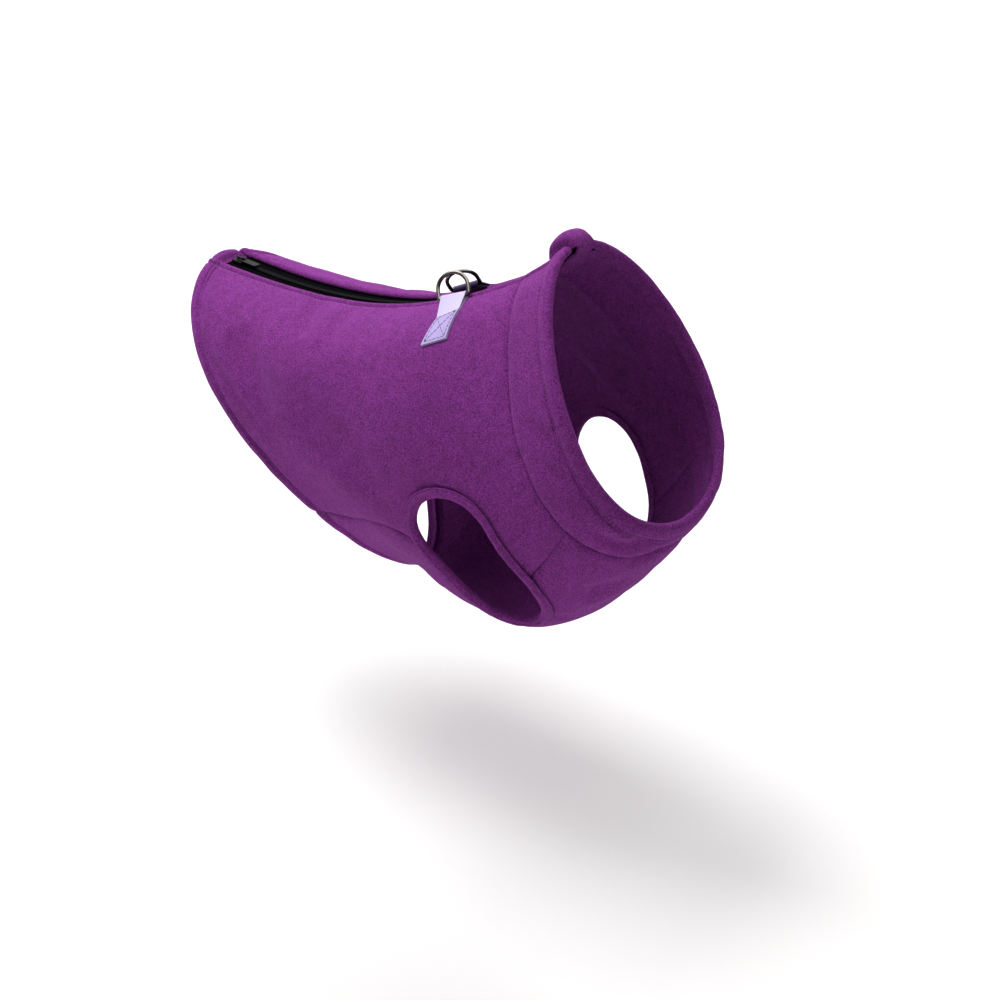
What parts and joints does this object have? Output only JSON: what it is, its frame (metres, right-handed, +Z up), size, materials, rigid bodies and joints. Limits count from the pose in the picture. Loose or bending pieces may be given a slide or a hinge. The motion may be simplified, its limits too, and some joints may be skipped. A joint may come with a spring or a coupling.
{
  "type": "dog winter coat",
  "caption": "Hollow fleece dog coat in its worn shape, with front leg holes, a bound neck edge, a zip along the back and lead rings over the shoulders.",
  "frame": {"origin": "on the wearer's back under the guard strip of the zip, between the lead rings", "axes": "+X toward the wearer's head, +Y to the wearer's left, +Z up"},
  "size_m": [0.4886, 0.1992, 0.3186],
  "materials": {
    "fleece": "matt violet polyester fleece, brushed on both faces",
    "zip_tape": "black woven polyester zip tape",
    "zip_coil": "black nylon coil",
    "slider_paint": "black enamel on die-cast zinc",
    "lilac_webbing": "pale lilac satin webbing",
    "violet_webbing": "dark violet webbing",
    "dark_nickel": "polished dark nickel plate on steel wire"
  },
  "bodies": {
    "coat": {"side_right": "fleece", "side_left": "fleece", "underside": "fleece", "collar": "fleece", "neck_binding": "fleece", "armhole_binding_right": "fleece", "armhole_binding_left": "fleece", "underlap": "fleece", "zip_garage": "fleece", "zip_tape_right": "zip_tape", "zip_tape_left": "zip_tape", "zip_coil": "zip_coil", "zip_slider": "slider_paint", "ring_tape_right": "lilac_webbing", "ring_tape_left": "violet_webbing"},
    "ring_right": {"d_ring_right": "dark_nickel"},
    "ring_left": {"d_ring_left": "dark_nickel"},
    "pull": {"zip_pull": "slider_paint"}
  },
  "joints": [
    {"name": "ring_right_swing", "type": "hinge", "parent": "coat", "child": "ring_right", "pos_m": [0.0234, -0.0237, 0.0169], "axis": [0.8251, 0.4971, 0.2684], "range_deg": [-5, 100]},
    {"name": "ring_left_swing", "type": "hinge", "parent": "coat", "child": "ring_left", "pos_m": [0.0136, 0.0005, 0.016], "axis": [0.8004, 0.5003, 0.3302], "range_deg": [-85, 0]},
    {"name": "pull_swing", "type": "hinge", "parent": "coat", "child": "pull", "pos_m": [-0.24356, 0, -0.0187], "axis": [0, -1, 0], "range_deg": [0, 160]}
  ]
}
